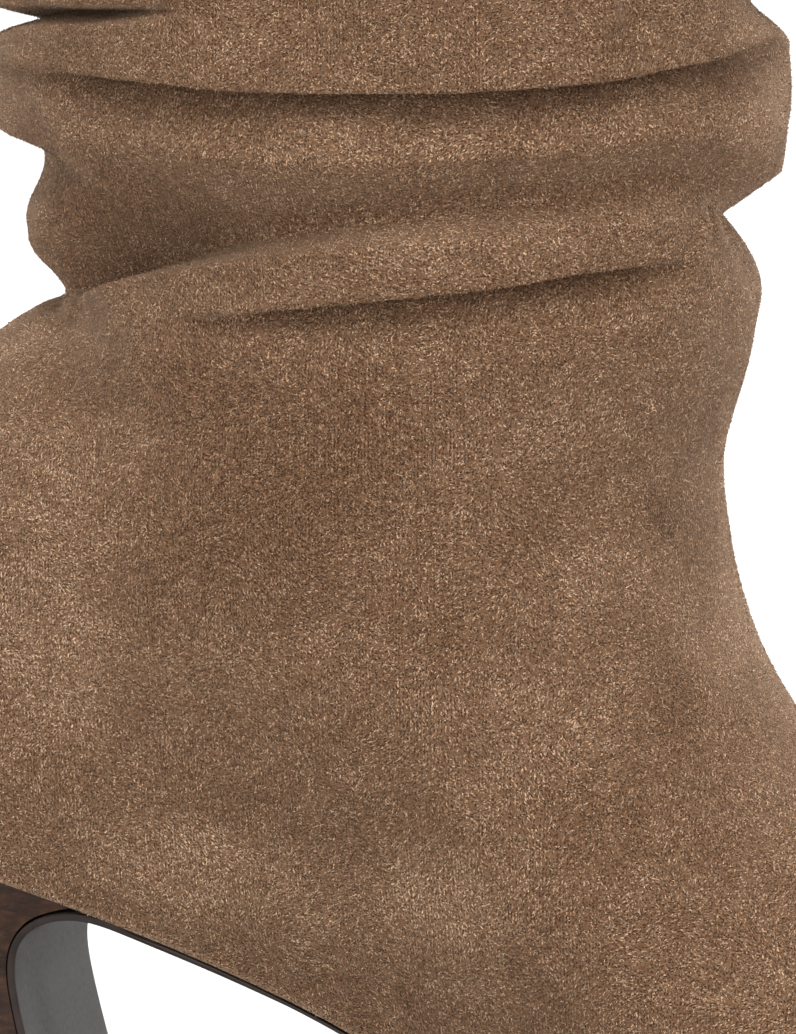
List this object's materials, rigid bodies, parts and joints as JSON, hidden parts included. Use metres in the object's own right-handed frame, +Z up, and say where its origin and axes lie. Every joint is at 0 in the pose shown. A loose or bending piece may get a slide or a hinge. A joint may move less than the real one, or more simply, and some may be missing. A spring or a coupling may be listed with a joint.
{
  "type": "ankle boot",
  "caption": "Slouched suede ankle boot for the right foot: hollow folded shaft, almond toe, thin sole that turns down the breast of a curved stacked heel.",
  "frame": {"origin": "middle of the boot's plan, on the floor that its heel and forefoot stand on", "axes": "+X along the foot towards the toe, +Z up, -Y towards the outer side of the right foot"},
  "size_m": [0.2522, 0.0948, 0.2401],
  "materials": {
    "suede": "napped, matt",
    "sole_finish": "burnished, satin",
    "insole_cover": "smooth, matt",
    "heel_stack": "stained stack, satin",
    "lift_rubber": "matt"
  },
  "bodies": {
    "root": {"upper": "suede", "outsole": "sole_finish", "insole": "insole_cover", "heel": "heel_stack", "heel_top_piece": "lift_rubber"}
  },
  "joints": []
}
